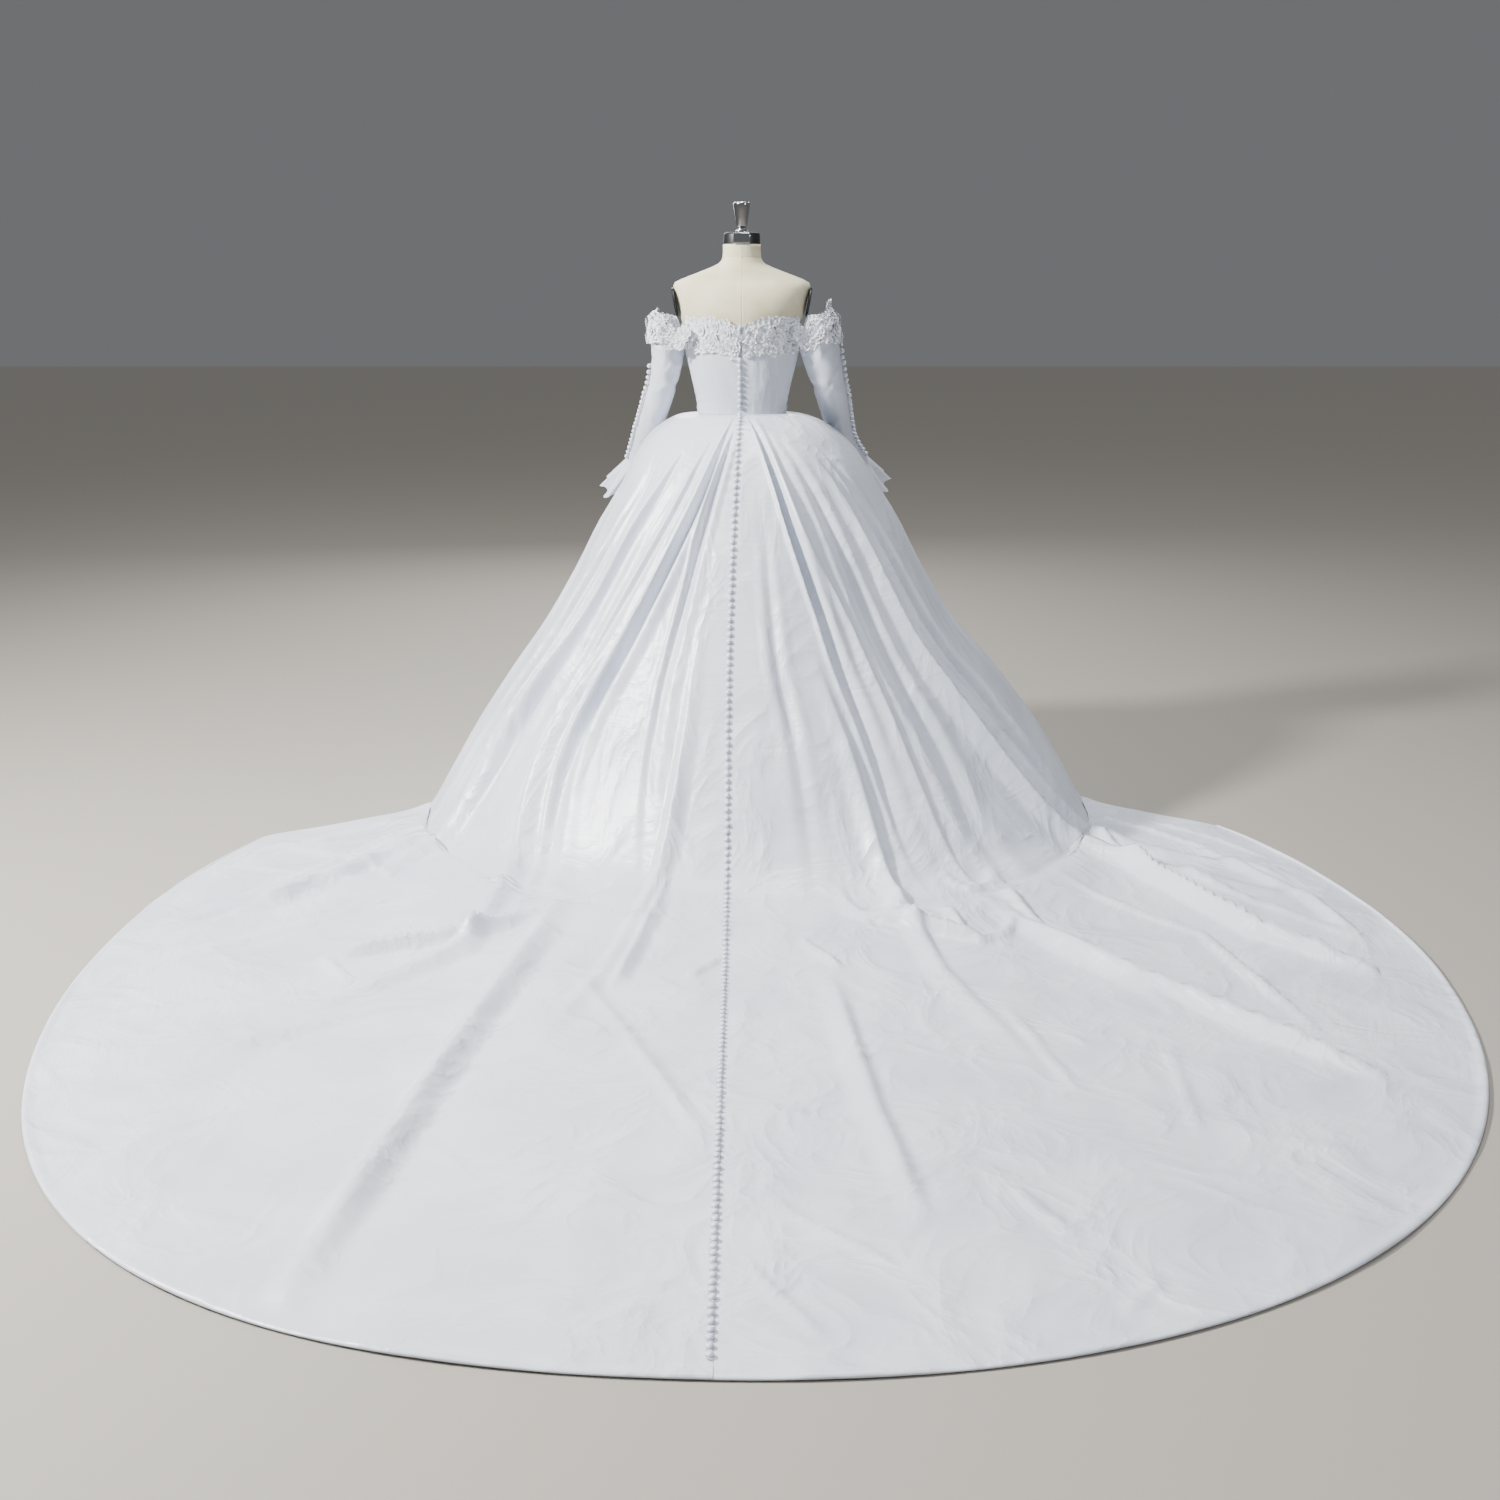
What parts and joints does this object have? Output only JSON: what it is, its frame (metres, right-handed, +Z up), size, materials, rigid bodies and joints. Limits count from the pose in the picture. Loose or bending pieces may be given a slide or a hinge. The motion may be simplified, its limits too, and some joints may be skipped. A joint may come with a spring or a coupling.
{
  "type": "wedding dress on a dress form",
  "caption": "Off-shoulder satin ball gown with long buttoned sleeves, flower lace neckline and a round train, standing on a limbless dress form.",
  "frame": {"origin": "on the floor at the dress form's axis, under the middle of its round foot", "axes": "+Z up; the dress faces -Y and its train lies towards +Y; the wearer's left is +X"},
  "size_m": [2.8899, 3.2791, 1.6086],
  "materials": {
    "satin": "heavy white bridal satin, soft sheen",
    "buttons": "satin-covered buttons",
    "lace": "white flower lace with small clear beads",
    "form_linen": "cream linen cover",
    "form_black": "black moulded plastic",
    "form_chrome": "polished",
    "form_enamel": "grey enamel"
  },
  "bodies": {
    "root": {"bodice_front": "satin", "bodice_back_left": "satin", "bodice_back_right": "satin", "sleeve_left": "satin", "sleeve_right": "satin", "cuff_left": "satin", "cuff_right": "satin", "skirt_front": "satin", "skirt_side_left": "satin", "skirt_side_right": "satin", "skirt_train_left": "satin", "skirt_train_right": "satin", "lace_front": "lace", "lace_back_left": "lace", "lace_back_right": "lace", "lace_sleeve_left": "lace", "lace_sleeve_right": "lace", "buttons_bodice": "buttons", "buttons_skirt": "buttons", "buttons_train": "buttons", "buttons_sleeve_left": "buttons", "buttons_sleeve_right": "buttons", "form_torso": "form_linen", "form_arm_plate_left": "form_black", "form_arm_plate_right": "form_black", "form_neck_cap": "form_black", "form_neck_plate": "form_chrome", "form_knob": "form_chrome", "form_pole": "form_enamel", "form_foot": "form_enamel"}
  },
  "joints": []
}
